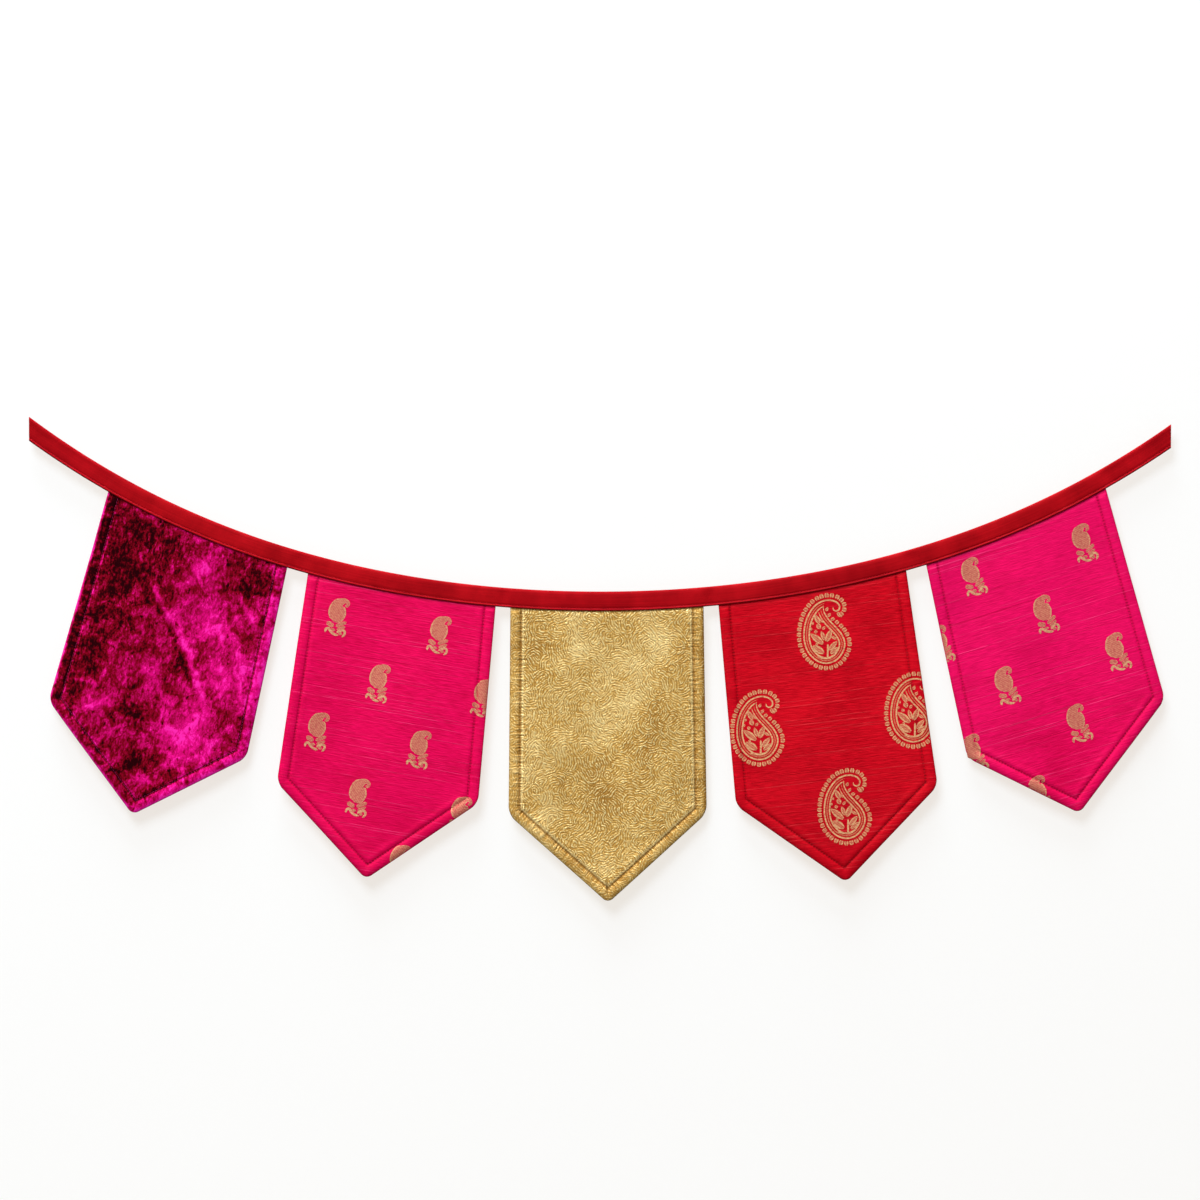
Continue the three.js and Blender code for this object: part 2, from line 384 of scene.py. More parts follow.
def velvetMaterial():
    material, tree, shader = newMaterial("velvet")
    cloth = uvOf(tree)
    seam = seamOutputs(tree)
    # The shade attribute: the crushed pile's own light and dark patches, together with the painted light and
    # shade of the creases and rims.
    crushAndShade = attribute(tree, "shade")

    def pile(across, along, depth, *values):
        return noiseAt(tree, stretched(tree, cloth, across, along, depth), 1, *values)

    wide = pile(80, 62, 1, 5, 0.62, 0.8)
    feathers = pile(250, 140, 6, 3, 0.6, 1.2)
    streaky = pile(430, 190, 2, 4, 0.65, 0.4)
    speckle = pile(760, 560, 3, 2, 0.6)
    pits = pile(260, 170, 8, 2, 0.6, 0.3)
    wrinkleShade = calc(tree, "ABSOLUTE", centred(tree, pile(210, 130, 5, 2, 0.6, 0.5)))
    lively = mapRange(tree, crushAndShade, 0.3, 0.8, 0.95, 0.5)  # the pile lies smoother where it is bright
    grains = piled(tree, times(tree, centred(tree, speckle), 0.6), (centred(tree, streaky), 1.4))
    lit = seamOutputs(tree, Margin=9.9 * mm, Width=0.8 * mm)["Line"]
    lit = times(tree, lit, mapRange(tree, wide, 0.35, 0.6))
    level = calc(tree, "ADD", mapRange(tree, wide, 0.37, 0.63, -0.24, 0.24), crushAndShade)
    # Painted shade: dark wrinkle lines as shade in small crevices, and the seam's line as shade in its
    # groove; the puckers are painted light and shade across the seam, and lit is a painted highlight beside
    # it.
    level = piled(
        tree, level, (centred(tree, feathers), 0.8), (mapRange(tree, wrinkleShade, 0, 0.03, 1, 0), -0.16),
        (grains, lively), (mapRange(tree, pits, 0.38, 0.26), -0.45),
        (mapRange(tree, pits, 0.66, 0.74), 0.3), (seam["Puckers"], 0.9), (seam["Line"], -0.3), (lit, 0.28))
    colour = ramp(tree, level, [
        (0.0, rgb(34, 0, 4)), (0.18, rgb(90, 0, 12)), (0.36, rgb(130, 1, 26)), (0.52, rgb(162, 3, 68)),
        (0.68, rgb(200, 5, 104)), (0.84, rgb(226, 10, 132)), (1.0, rgb(246, 40, 170))])
    height = piled(tree, times(tree, speckle, 0.4), (streaky, 0.8), (wide, 1.2), (seam["Puckers"], 1.5))
    setShader(tree, shader, Base_Color=colour, Normal=bumped(tree, height, 0.6, 0.5 * mm),
              Roughness=mapRange(tree, level, 0, 1, 0.9, 0.6), Specular_IOR_Level=0.03,
              Sheen_Weight=0.12, Sheen_Roughness=0.35, Sheen_Tint=rgb(255, 20, 150))
    return material


# Figured weave: fans of short parallel arcs. Each patch of cloth has a middle of its own to
# curve about, off to one side, and the arcs break here and there.
def figureGroup():
    values = {"Arc pitch": 1.9 * mm, "Patch": 9 * mm}
    tree, into, out = newGroup("figure", ["Cloth"], values, ["Figure", "Gaps"])

    def vectorCalc(operation, *values, result="Vector"):
        node = tree.nodes.new("ShaderNodeVectorMath")
        node.operation = operation
        for socket, value in zip(node.inputs, values):
            feed(tree, socket, value)
        return node.outputs[result]

    wobble, offset = 3 * mm, 22 * mm
    even = stretched(tree, into["Cloth"], 200, 200)
    bend = addNode(tree, "ShaderNodeTexNoise", Vector=even, Scale=1.0, Detail=1.0).outputs["Color"]
    spot = vectorCalc("MULTIPLY_ADD", bend, (wobble, wobble, 0), into["Cloth"])
    cells = addNode(tree, "ShaderNodeTexVoronoi", Vector=spot, Scale=calc(tree, "DIVIDE", 1, into["Patch"]))
    cells.voronoi_dimensions = "2D"
    shift = (-offset / 2, -offset / 2, 0)
    aside = vectorCalc("MULTIPLY_ADD", cells.outputs["Color"], (offset, offset, 0), shift)
    middle = vectorCalc("ADD", cells.outputs["Position"], aside)
    flat = vectorCalc("MULTIPLY", vectorCalc("SUBTRACT", spot, middle), (1, 1, 0))
    rings = waveOf(tree, "SINE", vectorCalc("LENGTH", flat, result="Value"), into["Arc pitch"])
    breaks = noiseAt(tree, stretched(tree, into["Cloth"], 380, 380), 1, 1)
    light = mapRange(tree, breaks, 0.42, 0.56)
    dark = mapRange(tree, breaks, 0.62, 0.46)
    feed(tree, out["Figure"], times(tree, mapRange(tree, rings, 0.2, 0.6), light))
    feed(tree, out["Gaps"], times(tree, mapRange(tree, rings, -0.2, -0.6), dark))
    return tree


def brocadeMaterial():
    material, tree, shader = newMaterial("goldBrocade")
    cloth = uvOf(tree)
    seam = seamOutputs(tree)
    inset = attribute(tree, "seamInset")
    woven = useGroup(tree, figureGroup(), Cloth=cloth)
    plain = mapRange(tree, inset, 8 * mm, 10 * mm, 0.65, 1)  # the rim's figure is pulled flat
    figure, gaps = (times(tree, woven[part], plain) for part in ("Figure", "Gaps"))
    clouds = noiseAt(tree, stretched(tree, cloth, 45, 45), 1, 3, 0.6)
    # Tone: the shade attribute's painted highlights and shade, clouds as painted light and shade of the
    # cloth's soft ripples, and the puckers as painted light and shade across the seam.
    tone = piled(tree, attribute(tree, "shade"), (centred(tree, clouds), 1.5), (seam["Puckers"], 2.6))
    stops = [(0.0, rgb(170, 124, 48)), (0.5, rgb(208, 164, 82)), (1.0, rgb(240, 208, 136))]
    colour = ramp(tree, tone, stops)
    lit = seamOutputs(tree, Margin=10.3 * mm, Width=1.2 * mm)["Line"]
    rolled = times(tree, mapRange(tree, inset, 4 * mm, 8.2 * mm, 0, 0.5),
                   mapRange(tree, inset, 8.8 * mm, 9.6 * mm, 1, 0))
    groove = times(tree, seam["Line"], mapRange(tree, seam["Puckers"], -0.15, 0.12, 0.75, 0.35))
    # lit is a painted highlight beside the groove; rolled (the slope into the groove) and groove are painted
    # shade, and the holes painted shade in the stitch holes. Figure and gaps are the woven pattern.
    for mask, strength, tint in (
            (figure, 0.85, rgb(255, 236, 170)), (gaps, 0.62, rgb(146, 98, 30)),
            (lit, 0.5, rgb(252, 228, 160)), (rolled, 1.0, rgb(166, 116, 36)),
            (groove, 1.0, rgb(146, 100, 34)), (seam["Holes"], 0.3, rgb(96, 64, 20))):
        colour = tinted(tree, colour, mask, strength, tint)
    weave = times(tree, weaveOf(tree, cloth, 0.42, 0.5, 0.3), 0.2)
    height = piled(tree, weave, (figure, 0.9), (gaps, -0.9), (seam["Puckers"], 8.0), (seam["Holes"], -1.2))
    setShader(tree, shader, Base_Color=colour, Normal=bumped(tree, height, 0.8, 0.25 * mm),
              Roughness=mapRange(tree, figure, 0, 1, 0.55, 0.38),
              Metallic=mapRange(tree, figure, 0, 1, 0.25, 0.5), Specular_IOR_Level=0.25)
    return material


def cottonMaterial():
    material, tree, shader = newMaterial("bandCotton")
    cloth = uvOf(tree)
    turned = addNode(tree, "ShaderNodeMapping", Vector=cloth)
    turned.inputs["Rotation"].default_value = (0, 0, math.radians(45))
    weave = weaveOf(tree, turned.outputs["Vector"], 0.45, 0.45, 0.2)
    seam = seamOutputs(tree, Margin=14.9 * mm, Width=1.0 * mm)
    folds = noiseAt(tree, stretched(tree, cloth, 30, 24), 1, 3, 0.6)
    lines = noiseAt(tree, stretched(tree, cloth, 14, 900), 1, 2)
    level = piled(tree, folds, (centred(tree, lines), 0.5))
    # The folds' colour is their painted light and shade; the lines are the cloth's own streaks.
    colour = ramp(tree, level, [(0.3, rgb(146, 1, 11)), (0.5, rgb(165, 4, 16)), (0.7, rgb(181, 8, 21))])
    bright = mapRange(tree, folds, 0.35, 0.6, 0.45, 0.8)
    # The shade attribute's bright stripes are painted highlights on the top fold and the lower lip; the
    # seam's line and holes, set at the lower edge, are painted shade on the rolled edge.
    for mask, strength, tint in (
            (attribute(tree, "shade"), bright, rgb(214, 16, 36)),
            (seam["Line"], 0.75, rgb(104, 0, 8)), (seam["Holes"], 0.3, rgb(60, 0, 4))):
        colour = tinted(tree, colour, mask, strength, tint)
    height = piled(tree, times(tree, weave, 0.25), (folds, 2.2), (seam["Puckers"], 1.2))
    setShader(tree, shader, Base_Color=colour, Normal=bumped(tree, height, 0.5, 0.3 * mm),
              Roughness=mapRange(tree, folds, 0.3, 0.7, 0.7, 0.55), Specular_IOR_Level=0.05)
    return material


def threadMaterial(name, colour, roughness):
    material, tree, shader = newMaterial(name)
    place = addNode(tree, "ShaderNodeTexCoord").outputs["Object"]
    twist = addNode(tree, "ShaderNodeTexWave", Vector=place, Scale=1 / (3 * mm), Distortion=1.0)
    twist.bands_direction = "DIAGONAL"
    patchy = noiseAt(tree, place, 260, 2)
    dark = tuple(channel * 0.62 for channel in colour[:3]) + (1,)
    setShader(tree, shader, Base_Color=mixColour(tree, mapRange(tree, patchy, 0.35, 0.65), dark, colour),
              Normal=bumped(tree, twist.outputs["Fac"], 0.5, 0.08 * mm),
              Roughness=roughness, Specular_IOR_Level=0.2)
    return material


def zariMaterial(name, edge, inside, ground, rimFrom):
    material, tree, shader = newMaterial(name)
    cloth = uvOf(tree)
    parts = addNode(tree, "ShaderNodeSeparateXYZ", Vector=cloth).outputs
    pickPitch, hatchPitch = 0.85 * mm, 2.1 * mm
    pick = mapRange(tree, calc(tree, "SINE", times(tree, parts["Y"], 2 * math.pi / pickPitch)), -0.4, 0.7)
    slant = calc(tree, "ADD", parts["X"], parts["Y"])
    hatch = calc(tree, "SINE", times(tree, slant, 2 * math.pi / hatchPitch))
    patchy = noiseAt(tree, stretched(tree, cloth, 500, 900), 1, 2)
    rim = mapRange(tree, attribute(tree, "rim"), rimFrom, rimFrom + 0.2)
    bare = times(tree, mapRange(tree, patchy, 0.56, 0.36), 0.6)
    bare = piled(tree, calc(tree, "ADD", bare, 0.15), (pick, -0.15))
    colour = mixColour(tree, mapRange(tree, hatch, -1, 1, 0, 0.42), inside, edge)
    colour = mixColour(tree, rim, colour, edge)
    height = piled(tree, pick, (patchy, 0.8))
    setShader(tree, shader, Base_Color=mixColour(tree, bare, colour, ground),
              Normal=bumped(tree, height, 0.6, 0.12 * mm), Roughness=0.5, Metallic=0.15,
              Specular_IOR_Level=0.15)
    return material


materials = {
    "band_cotton": cottonMaterial(),
    "velvet": velvetMaterial(),
    "pink_silk": silkMaterial("pinkSilk", pinkColours),
    "gold_brocade": brocadeMaterial(),
    "red_silk": silkMaterial("redSilk", redColours),
}
sewing = {
    "band_cotton": threadMaterial("bandThread", rgb(212, 26, 44), 0.6),
    "velvet": threadMaterial("velvetThread", rgb(214, 40, 120), 0.6),
    "pink_silk": threadMaterial("pinkThread", rgb(214, 10, 80), 0.55),
    "gold_brocade": threadMaterial("goldThread", rgb(196, 152, 76), 0.5),
    "red_silk": threadMaterial("redThread", rgb(178, 6, 22), 0.55),
}
zari = {
    "pink_silk": zariMaterial("pinkZari", rgb(216, 172, 126), rgb(200, 108, 92), rgb(182, 60, 70), 0.76),
    "red_silk": zariMaterial("redZari", rgb(222, 182, 130), rgb(200, 96, 72), rgb(180, 56, 48), 0.42),
}
print("materials made")

# A flag is a turned double layer: a puffed rim outside the topstitching, a flat field inside.
cloth = {
    "tongue": 7.8 * mm,
    "tongueHalf": 0.55 * mm,
    "swellFrom": 0.9 * mm,
    "swellTo": 5 * mm,
    "crestHalf": 1.95 * mm,
    "fieldHalf": 1.1 * mm,
    "grooveHalf": 0.45 * mm,
    "puffPeak": 3 * mm,
    "puffWide": 2.3 * mm,
    "puff": 0.4 * mm,
    "grooveFrom": 1 * mm,
    "grooveWide": 1.1 * mm,
    "lumpWide": 9 * mm,
    "rumpleWide": 26 * mm,
    "rumpleFull": 20 * mm,  # below the tape
    "creaseFull": 6 * mm,  # inside the seam
    "rimFade": 1.2 * mm,
    "edgeFade": (0.8 * mm, 2.4 * mm),
    "corner": 5 * mm,
    "free": 60 * mm,
    "drop": 235 * mm,
    "fieldStep": 1.6 * mm,
    "fieldShare": 0.82,  # of the drop, inside the lower seam
    "topRows": [row * mm for row in (-7.8, -1.5, 0.6, 1.6, 2.8, 4.2)],
}
seamSteps = [step * mm for step in (
    0, 0.2, 0.55, 1.05, 1.8, 2.8, 4, 5.2, 6.3, 7.1, 7.7, 8.2, 8.7, 9.2, 9.8, 10.6, 11.8)]

# Leans are in degrees from plumb. A place on a flag is a share across it, then millimetres below
# the tape. Shades holds such places with the size of each patch and how much lighter it is: on the
# velvet the patches of its crushed pile, on the gold painted highlights and shade of its ripples,
# on the silks painted shade towards the tip; shadeBase lifts the right pink flag with painted light.
# A crease runs between two places, with its width and its height, or depth with a minus, and its
# colour is painted lighter on its ridge and darker in its trough, as painted light and shade. Per
# rim, side by side: how much lighter the outermost edge and the rim behind it are, painted light
# and shade by the side the light falls from.
flags = {
    "velvet": {
        "node": "flag_velvet", "slot": "velvet", "from": -380.9, "to": -242.7,
        "leftLean": -16.0, "leftLength": 171.4, "rightLean": -12.1, "rightLength": 153.8,
        "tipLean": -9.9, "tipDrop": 68.5, "curl": 2.4, "kick": 3.0, "ripple": 1.3, "phase": 0.2,
        "grain": -14, "rumple": 0.5, "shadeBase": 0.46,
        "rimShading": [(0.7, -0.28), (0.5, -0.02), (0.35, 0.22), (0.1, 0.28)],
        "shades": [
            (0.19, 16, 19, -0.3), (0.35, 18, 15, -0.32), (0.14, 45, 15, -0.29), (0.2, 63, 14, -0.32),
            (0.1, 86, 13, -0.29), (0.12, 122, 16, -0.38), (0.09, 152, 13, -0.36), (0.3, 44, 12, -0.26),
            (0.56, 96, 9, -0.27), (0.76, 29, 10, -0.19), (0.9, 15, 13, -0.35), (0.82, 2, 9, -0.26),
            (0.41, 150, 10, -0.26), (0.48, 185, 13, -0.42), (0.5, 117, 8, -0.19), (0.25, 82, 9, -0.32),
            (0.85, 112, 6, -0.14), (0.56, 27, 11, 0.3), (0.65, 62, 18, 0.4), (0.86, 93, 20, 0.4),
            (0.68, 152, 22, 0.5), (0.45, 114, 10, 0.28), (0.23, 158, 11, 0.26), (0.53, 199, 7, 0.33),
            (0.37, 133, 9, -0.3)],
        "creases": [
            ((0.33, 50), (0.55, 81), 2.2, 0.6), ((0.53, 76), (0.74, 124), 2.8, 0.9),
            ((0.31, 54), (0.53, 86), 1.5, -0.6), ((0.51, 84), (0.69, 122), 1.6, -0.6),
            ((0.77, 30), (0.92, 56), 2.6, 0.8), ((0.81, 28), (0.96, 52), 1.6, -0.5),
            ((0.23, 44), (0.37, 70), 1.8, -0.5), ((0.07, 147), (0.24, 139), 1.3, 0.5),
            ((0.33, 158), (0.47, 154), 1.2, 0.4), ((0.41, 153), (0.43, 170), 1.2, 0.4)],
    },
    "pinkLeft": {
        "node": "flag_pink_left", "slot": "pink_silk", "from": -226.7, "to": -81.1,
        "leftLean": -8.4, "leftLength": 166.8, "rightLean": -5.1, "rightLength": 156.3,
        "tipLean": -7.7, "tipDrop": 68.5, "curl": -1.6, "kick": 1.8, "ripple": 0.9, "phase": 0.65,
        "grain": -10, "rumple": 0.22, "shadeBase": 0.5, "rimShading": [(0, 0)] * 4, "creases": [],
        "shades": [(0.5, 190, 70, -0.3)],
        "motif": {"kind": "buta", "first": (-207, -20), "along": 81.7, "drop": 91.7,
                  "side": 3, "nudge": (2.3, 2.3)},
    },
    "gold": {
        "node": "flag_gold", "slot": "gold_brocade", "from": -69.7, "to": 80.5,
        "leftLean": -0.5, "leftLength": 163.5, "rightLean": 0.9, "rightLength": 163.3,
        "tipLean": 0.2, "tipDrop": 70.3, "curl": 2.0, "kick": 2.4, "ripple": 1.0, "phase": 0.4,
        "grain": 0, "rumple": 0.4, "shadeBase": 0.5,
        "rimShading": [(0.1, -0.05), (0.0, 0.0), (-0.1, 0.0), (-0.7, -0.1)],
        "shades": [
            (0.76, 29, 16, 0.45), (0.63, 62, 18, 0.35), (0.48, 88, 18, 0.3), (0.38, 31, 18, 0.38),
            (0.16, 86, 16, 0.2), (0.13, 120, 16, 0.3), (0.15, 168, 12, 0.25), (0.9, 117, 12, 0.2),
            (0.14, 32, 14, -0.3), (0.89, 35, 12, -0.3), (0.76, 76, 14, -0.35), (0.69, 108, 14, -0.35),
            (0.54, 147, 16, -0.42), (0.42, 131, 14, -0.4)],
        "creases": [],
    },
    "red": {
        "node": "flag_red", "slot": "red_silk", "from": 92.1, "to": 237.8,
        "leftLean": 5.0, "leftLength": 159.0, "rightLean": 8.3, "rightLength": 171.7,
        "tipLean": 6.0, "tipDrop": 68.6, "curl": 1.2, "kick": 3.2, "ripple": 0.8, "phase": 0.9,
        "grain": 6.6, "rumple": 0.25, "shadeBase": 0.5, "rimShading": [(0, 0)] * 4, "creases": [],
        "shades": [(0.5, 190, 70, -0.3)],
        "motif": {"kind": "paisley", "first": (177, -32), "along": 122.5, "drop": 139.1,
                  "side": 0, "nudge": (0, 0)},
    },
    "pinkRight": {
        "node": "flag_pink_right", "slot": "pink_silk", "from": 253.2, "to": 392.1,
        "leftLean": 12.1, "leftLength": 156.1, "rightLean": 15.7, "rightLength": 172.9,
        "tipLean": 8.8, "tipDrop": 67.6, "curl": 2.2, "kick": 1.6, "ripple": 1.2, "phase": 0.1,
        "grain": 17, "rumple": 0.22, "shadeBase": 0.6, "rimShading": [(0, 0)] * 4, "creases": [],
        "shades": [(0.5, 190, 70, -0.1)],
        "motif": {"kind": "buta", "first": (294.7, 11.5), "along": 91.5, "drop": 90,
                  "side": 0, "nudge": (5.2, 3)},
    },
}


def fromMiddle(x, z):
    return Vector((swag["reach"] + x * mm, z * mm - swag["dip"] - swag["skew"]))


def leanTo(point, lean, length):
    angle = math.radians(lean)
    return point + Vector((math.sin(angle), -math.cos(angle))) * length * mm


def crossOf(a, b):
    return a.x * b.y - a.y * b.x


def measure(flag):
    startX = swag["reach"] + flag["from"] * mm
    endX = swag["reach"] + flag["to"] * mm
    topLeft = onTape(startX, tapeWidth)
    topRight = onTape(endX, tapeWidth)
    left = leanTo(topLeft, flag["leftLean"], flag["leftLength"])
    right = leanTo(topRight, flag["rightLean"], flag["rightLength"])
    tip = leanTo((left + right) / 2, flag["tipLean"], flag["tipDrop"])
    flag.update(startX=startX, endX=endX, topLeft=topLeft, topRight=topRight)
    flag.update(left=left, right=right, tip=tip)
    flag["width"] = (topRight - topLeft).length
    flag["outline"] = [topLeft, left, tip, right, topRight]
    flag["sides"] = list(zip(flag["outline"][:-1], flag["outline"][1:]))
    flag["centre"] = (left + right + topLeft + topRight) / 4
    flag["seed"] = Vector((flag["from"], 3.7, 0)) * 0.13
    area = 0
    for a, b in zip(flag["outline"], flag["outline"][1:] + flag["outline"][:1]):
        area += crossOf(a, b) / 2
    flag["area"] = area + flag["width"] * cloth["tongue"]
    flag["shades"] = [(placeOn(flag, across, down), size * mm, change)
                      for across, down, size, change in flag["shades"]]
    flag["creases"] = [(placeOn(flag, *start), placeOn(flag, *end), width * mm, height)
                       for start, end, width, height in flag["creases"]]


def placeOn(flag, across, down):
    top = onTape(blendOf(flag["startX"], flag["endX"], across), tapeWidth)
    lean = math.radians(blendOf(flag["leftLean"], flag["rightLean"], across))
    return top + Vector((math.sin(lean), -math.cos(lean))) * down * mm


def insetsOf(flag, place):
    return [crossOf((b - a).normalized(), place - a) for a, b in flag["sides"]]


def depthOf(place):
    slope = swagSlope(place.x)
    length = math.hypot(1, slope)
    return (swagHeight(place.x) - tapeWidth * length - place.y) / length


# How high a crease stands at a place: it fades in and out a little past its ends.
def creaseAt(crease, place):
    start, end, width, height = crease
    along = end - start
    share = (place - start).dot(along) / along.length_squared
    if share < -0.1 or share > 1.1:
        return 0
    off = crossOf(along.normalized(), place - start)
    taper = smooth(-0.1, 0.25, share) * (1 - smooth(0.75, 1.1, share))
    return height * (taper * hump(off, width))


# Where the cloth stands at a place: the middle of its two layers, and half its thickness.
def clothAt(flag, place):
    insets = insetsOf(flag, place)
    inset = max(min(insets), 0)
    depth = depthOf(place)
    across = insets[0] / (insets[0] + insets[3])
    down = max(depth, 0) / cloth["drop"]
    loose = smooth(0, cloth["free"], depth)
    wave = flag["ripple"] * math.sin(2 * math.pi * (1.5 * across + 0.4 * down + flag["phase"]))
    middle = loose * (flag["curl"] * (2 * across - 1) ** 2 + wave) - flag["kick"] * down ** 2
    spot = Vector((place.x, place.y, 0)) / cloth["rumpleWide"] + flag["seed"]
    middle += smooth(0, cloth["rumpleFull"], depth) * flag["rumple"] * noise.noise(spot)
    past = inset - margin
    field = smooth(0, cloth["creaseFull"], past)
    for crease in flag["creases"]:
        middle -= creaseAt(crease, place) * blendOf(0.3, 1, field)
    lump = noise.noise(Vector((place.x, place.y, 5 * mm)) / cloth["lumpWide"] + flag["seed"])
    if past < 0:
        arch = 1 - abs(2 * inset / margin - 1) ** 2.4
        puffed = cloth["crestHalf"] * arch ** 0.6 * (1 + 0.08 * lump)
        half = max(puffed, cloth["grooveHalf"] * (inset > cloth["grooveFrom"]))
    else:
        groove = math.exp(-past / cloth["grooveWide"])
        half = blendOf(cloth["fieldHalf"], cloth["grooveHalf"], groove)
        half += cloth["puff"] * (1 + 0.5 * lump) * hump(past - cloth["puffPeak"], cloth["puffWide"])
    swell = smooth(cloth["swellFrom"], cloth["swellTo"], depth)
    most = blendOf(cloth["tongueHalf"], cloth["crestHalf"] * 1.2, swell)
    return middle * mm, min(half, most), inset


def alongSeam(flag, place):
    insets = insetsOf(flag, place)
    side = insets.index(min(insets))
    a, b = flag["sides"][side]
    before = sum((q - p).length for p, q in flag["sides"][:side])
    return before + (place - a).dot((b - a).normalized())


def shadeAt(flag, place):
    shade = flag["shadeBase"]
    # Painted into the colour: the table's patches, the creases' painted light on ridges and shade in troughs,
    # and each rim's painted light and shade.
    for spot, size, change in flag["shades"]:
        shade += change * hump((place - spot).length, size)
    for crease in flag["creases"]:
        shade += 0.5 * creaseAt(crease, place)
    insets = insetsOf(flag, place)
    inset = min(insets)
    edge, rim = flag["rimShading"][insets.index(inset)]
    shade += rim * (1 - smooth(margin - cloth["rimFade"], margin, inset))
    return shade + edge * (1 - smooth(*cloth["edgeFade"], inset))


def clothUv(flag, place):
    turn = math.radians(flag["grain"])
    off = place - flag["centre"]
    across = off.x * math.cos(turn) + off.y * math.sin(turn)
    return across + flag["from"] * mm, off.y * math.cos(turn) - off.x * math.sin(turn)


def crossing(pointA, alongA, pointB, alongB):
    return pointA + alongA * (crossOf(pointB - pointA, alongB) / crossOf(alongA, alongB))


def columnCount(flag):
    field = math.ceil((flag["width"] / 2 - seamSteps[-1]) / cloth["fieldStep"])
    return 2 * (len(seamSteps) - 1 + field), field


# A column of the flag's grid runs from the tape down to one of the two lower edges.
def columnOf(flag, column):
    columns, field = columnCount(flag)
    onLeft = column * 2 <= columns
    near = min(column, columns - column)
    side, shoulder = (flag["topLeft"], flag["left"]) if onLeft else (flag["topRight"], flag["right"])
    hem = (flag["tip"] - shoulder).normalized()
    seamInset = seamSteps[min(near, len(seamSteps) - 1)]
    share = max(near - len(seamSteps) + 1, 0) / field
    inset = blendOf(seamInset, flag["width"] / 2, share)

    def topOf(distance):
        across = distance / flag["width"] if onLeft else 1 - distance / flag["width"]
        return onTape(blendOf(flag["startX"], flag["endX"], across), tapeWidth)

    seamFoot = crossing(topOf(seamInset), shoulder - side, shoulder, hem)
    top = topOf(inset)
    foot = seamFoot.lerp(flag["tip"], share)
    along = (foot - top).normalized()
    return top, along, (foot - top).length, abs(crossOf(along, hem))


def rowCount():
    return math.ceil(cloth["drop"] * cloth["fieldShare"] / cloth["fieldStep"]) + len(seamSteps) + 4


def rowDepth(row, length, slant):
    first = cloth["topRows"]
    if row < len(first):
        return first[row]
    rows = rowCount()
    fromHem = rows - row
    if fromHem < len(seamSteps):
        return length - seamSteps[fromHem] / slant
    last = length - seamSteps[-1] / slant
    share = (row - len(first) + 1) / (rows - len(seamSteps) - len(first) + 2)
    return blendOf(first[-1], last, share)


def roundCorner(place, corner, along, back):
    a = (along - corner).normalized()
    b = (back - corner).normalized()
    first = -crossOf(a, place - corner)
    second = crossOf(b, place - corner)
    if first >= cloth["corner"] or second >= cloth["corner"]:
        return place
    u = 1 - max(first, 0) / cloth["corner"]
    v = 1 - max(second, 0) / cloth["corner"]
    pulledU = u * math.sqrt(1 - v ** 2 / 2)
    pulledV = v * math.sqrt(1 - u ** 2 / 2)
    spread = abs(crossOf(a, b)) / cloth["corner"]
    return place + a * ((v - pulledV) / spread) + b * ((u - pulledU) / spread)


def everything(bm):
    return bm.verts[:] + bm.edges[:] + bm.faces[:]


def newLayers(bm):
    return [bm.verts.layers.float.new(key) for key in ("seamAlong", "seamInset", "shade", "clothU", "clothV")]


def fillLayers(vert, layers, *values):
    for layer, value in zip(layers, values):
        vert[layer] = value


def addUv(bm, uvAt):
    uv = bm.loops.layers.uv.new("cloth")
    for face in bm.faces:
        for loop in face.loops:
            loop[uv].uv = uvAt(loop.vert)


def makeFlag(name, flag):
    bm = bmesh.new()
    columns, rows = columnCount(flag)[0], rowCount()
    layers = newLayers(bm)
    bmesh.ops.create_grid(bm, x_segments=columns, y_segments=rows, size=0.5)
    lines = [columnOf(flag, column) for column in range(columns + 1)]
    stands = []
    for vert in bm.verts:
        column = round((vert.co.x + 0.5) * columns)
        top, along, length, slant = lines[column]
        row = round((0.5 - vert.co.y) * rows)
        flat = top + along * rowDepth(row, length, slant)
        place = roundCorner(flat, flag["left"], flag["topLeft"], flag["tip"])
        place = roundCorner(place, flag["right"], flag["tip"], flag["topRight"])
        place = roundCorner(place, flag["tip"], flag["left"], flag["right"])
        middle, half, inset = clothAt(flag, flat)
        stands.append(0 if row in (0, rows) or column in (0, columns) else half)
        vert.co = (place.x, middle, place.y)
        fillLayers(vert, layers, alongSeam(flag, flat), inset, shadeAt(flag, flat), *clothUv(flag, place))
    fronts = list(bm.verts)
    copied = bmesh.ops.duplicate(bm, geom=everything(bm))
    backFaces = [item for item in copied["geom"] if isinstance(item, bmesh.types.BMFace)]
    for vert, half in zip(fronts, stands):
        back = copied["vert_map"][vert]
        vert.co.y -= half
        back.co.y += half
    bmesh.ops.reverse_faces(bm, faces=backFaces)
    bmesh.ops.remove_doubles(bm, verts=bm.verts, dist=weld)
    for face in bm.faces:
        face.smooth = True
    addUv(bm, lambda vert: (vert[layers[3]], vert[layers[4]]))
    return finish(bm, name, materials[flag["slot"]])


def newPiece(bm, name, material):
    mesh = bpy.data.meshes.new(name)
    bm.to_mesh(mesh)
    bm.free()
    mesh.materials.append(material)
    piece = bpy.data.objects.new(name, mesh)
    bpy.context.scene.collection.objects.link(piece)
    return piece


def finish(bm, name, material):
    piece = newPiece(bm, name, material)
    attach(piece, "root")
    return piece


